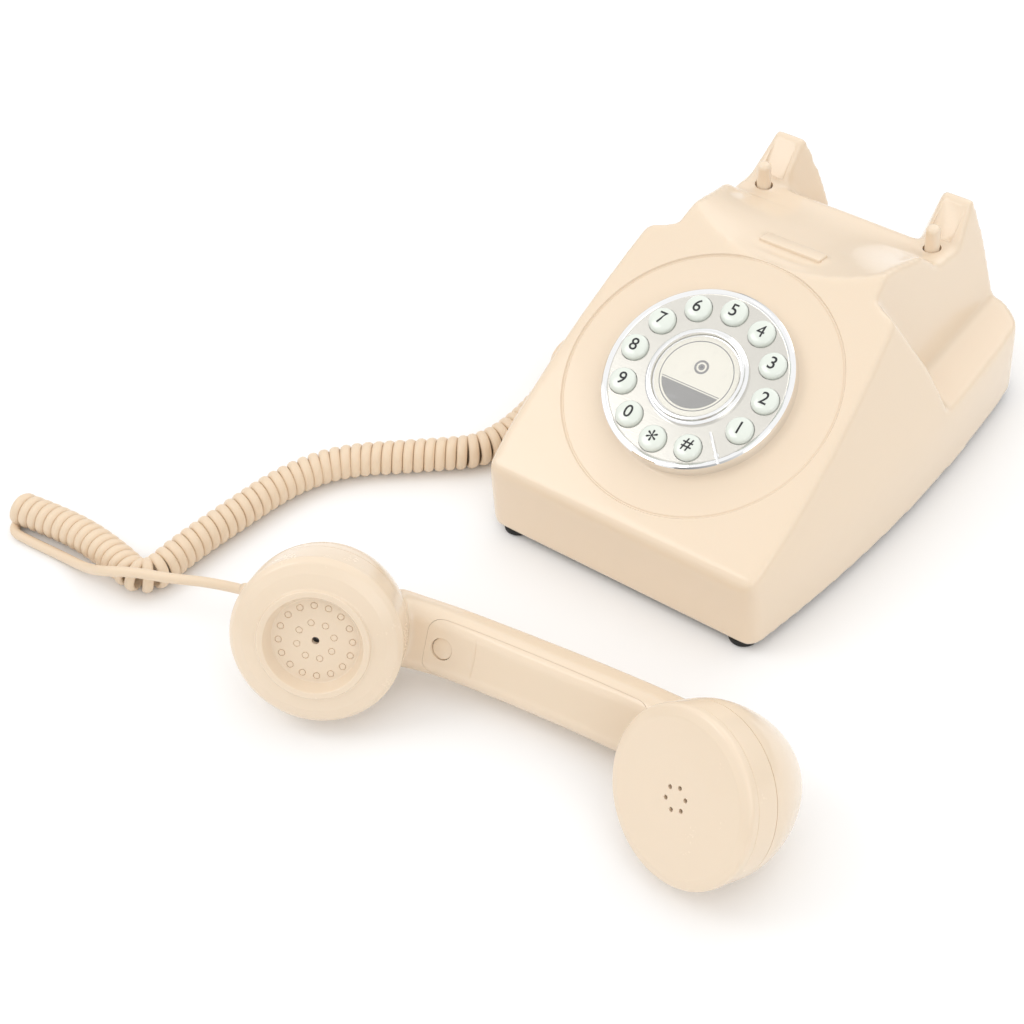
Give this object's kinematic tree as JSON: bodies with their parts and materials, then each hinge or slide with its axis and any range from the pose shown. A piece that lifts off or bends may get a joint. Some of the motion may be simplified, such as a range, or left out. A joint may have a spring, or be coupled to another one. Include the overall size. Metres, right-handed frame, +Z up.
{
  "type": "corded landline phone",
  "caption": "Corded desk phone in cream plastic: round push-button dial with a chrome plate, handset off the hook beside it, curly cord.",
  "frame": {"origin": "on the desk under the middle of the case, on the case's plane of symmetry, level with the underside of the feet", "axes": "+Z up, -Y towards the user (the side the dial faces), +X to the user's right"},
  "size_m": [0.3719, 0.3333, 0.0961],
  "materials": {
    "cream_plastic": "gloss",
    "cord_vinyl": "satin",
    "black_plastic": "satin",
    "clear_plastic": "clear",
    "black_rubber": "matte",
    "chrome_plate": "polished",
    "printed_card": "matte",
    "pale_key_plastic": "gloss",
    "grey_silicone": "matte",
    "circuit_board": "satin",
    "zinc_screw": "satin",
    "spring_steel": "satin",
    "iron_weight": "rough",
    "metal_can": "satin"
  },
  "bodies": {
    "base": {"case_shell": "cream_plastic", "base_plate": "black_plastic", "base_screws": "zinc_screw", "foot_front_left": "black_rubber", "foot_front_right": "black_rubber", "foot_rear_left": "black_rubber", "foot_rear_right": "black_rubber", "ballast_weight": "iron_weight", "sounder": "metal_can", "main_board": "circuit_board", "dial_plate": "chrome_plate", "finger_stop": "chrome_plate", "centre_ring": "chrome_plate", "centre_card": "printed_card", "centre_lens": "clear_plastic", "key_mat": "grey_silicone", "key_board": "circuit_board", "dial_screws": "zinc_screw", "hook_springs": "spring_steel", "hook_bracket": "black_plastic", "hook_switch": "black_plastic", "handset_jack": "black_plastic", "line_jack": "black_plastic", "cord_plug": "clear_plastic", "cord_tail_base": "cord_vinyl", "cord_coil": "cord_vinyl", "cord_tail_handset": "cord_vinyl"},
    "handset": {"handset_shell": "cream_plastic", "grip_panel": "cream_plastic", "panel_plug": "cream_plastic", "panel_screw": "zinc_screw", "ear_cap": "cream_plastic", "mouth_cap": "cream_plastic", "ear_gasket": "black_rubber", "receiver_capsule": "metal_can", "mouth_gasket": "black_rubber", "microphone_capsule": "metal_can", "handset_weight": "iron_weight", "cord_boot": "cord_vinyl"},
    "hook": {"hook_pins": "cream_plastic"},
    "key_1": {"key_1": "pale_key_plastic"},
    "key_2": {"key_2": "pale_key_plastic"},
    "key_3": {"key_3": "pale_key_plastic"},
    "key_4": {"key_4": "pale_key_plastic"},
    "key_5": {"key_5": "pale_key_plastic"},
    "key_6": {"key_6": "pale_key_plastic"},
    "key_7": {"key_7": "pale_key_plastic"},
    "key_8": {"key_8": "pale_key_plastic"},
    "key_9": {"key_9": "pale_key_plastic"},
    "key_0": {"key_0": "pale_key_plastic"},
    "key_star": {"key_star": "pale_key_plastic"},
    "key_hash": {"key_hash": "pale_key_plastic"}
  },
  "joints": [
    {"name": "key_1_press", "type": "slide", "parent": "base", "child": "key_1", "axis": [0, 0.4195, -0.9078], "range_m": [0, 0.0015], "stiffness_N_per_m": 600},
    {"name": "key_2_press", "type": "slide", "parent": "base", "child": "key_2", "axis": [0, 0.4195, -0.9078], "range_m": [0, 0.0015], "stiffness_N_per_m": 600},
    {"name": "key_3_press", "type": "slide", "parent": "base", "child": "key_3", "axis": [0, 0.4195, -0.9078], "range_m": [0, 0.0015], "stiffness_N_per_m": 600},
    {"name": "key_4_press", "type": "slide", "parent": "base", "child": "key_4", "axis": [0, 0.4195, -0.9078], "range_m": [0, 0.0015], "stiffness_N_per_m": 600},
    {"name": "key_5_press", "type": "slide", "parent": "base", "child": "key_5", "axis": [0, 0.4195, -0.9078], "range_m": [0, 0.0015], "stiffness_N_per_m": 600},
    {"name": "key_6_press", "type": "slide", "parent": "base", "child": "key_6", "axis": [0, 0.4195, -0.9078], "range_m": [0, 0.0015], "stiffness_N_per_m": 600},
    {"name": "key_7_press", "type": "slide", "parent": "base", "child": "key_7", "axis": [0, 0.4195, -0.9078], "range_m": [0, 0.0015], "stiffness_N_per_m": 600},
    {"name": "key_8_press", "type": "slide", "parent": "base", "child": "key_8", "axis": [0, 0.4195, -0.9078], "range_m": [0, 0.0015], "stiffness_N_per_m": 600},
    {"name": "key_9_press", "type": "slide", "parent": "base", "child": "key_9", "axis": [0, 0.4195, -0.9078], "range_m": [0, 0.0015], "stiffness_N_per_m": 600},
    {"name": "key_0_press", "type": "slide", "parent": "base", "child": "key_0", "axis": [0, 0.4195, -0.9078], "range_m": [0, 0.0015], "stiffness_N_per_m": 600},
    {"name": "key_star_press", "type": "slide", "parent": "base", "child": "key_star", "axis": [0, 0.4195, -0.9078], "range_m": [0, 0.0015], "stiffness_N_per_m": 600},
    {"name": "key_hash_press", "type": "slide", "parent": "base", "child": "key_hash", "axis": [0, 0.4195, -0.9078], "range_m": [0, 0.0015], "stiffness_N_per_m": 600},
    {"name": "hook_press", "type": "slide", "parent": "base", "child": "hook", "axis": [0, 0, -1], "range_m": [0, 0.006], "stiffness_N_per_m": 250, "springref_m": -0.002, "deforming": ["hook_springs"]},
    {"name": "handset_lift", "type": "slide", "parent": "base", "child": "handset", "axis": [0, 0, 1], "range_m": [0, 0.25]}
  ]
}
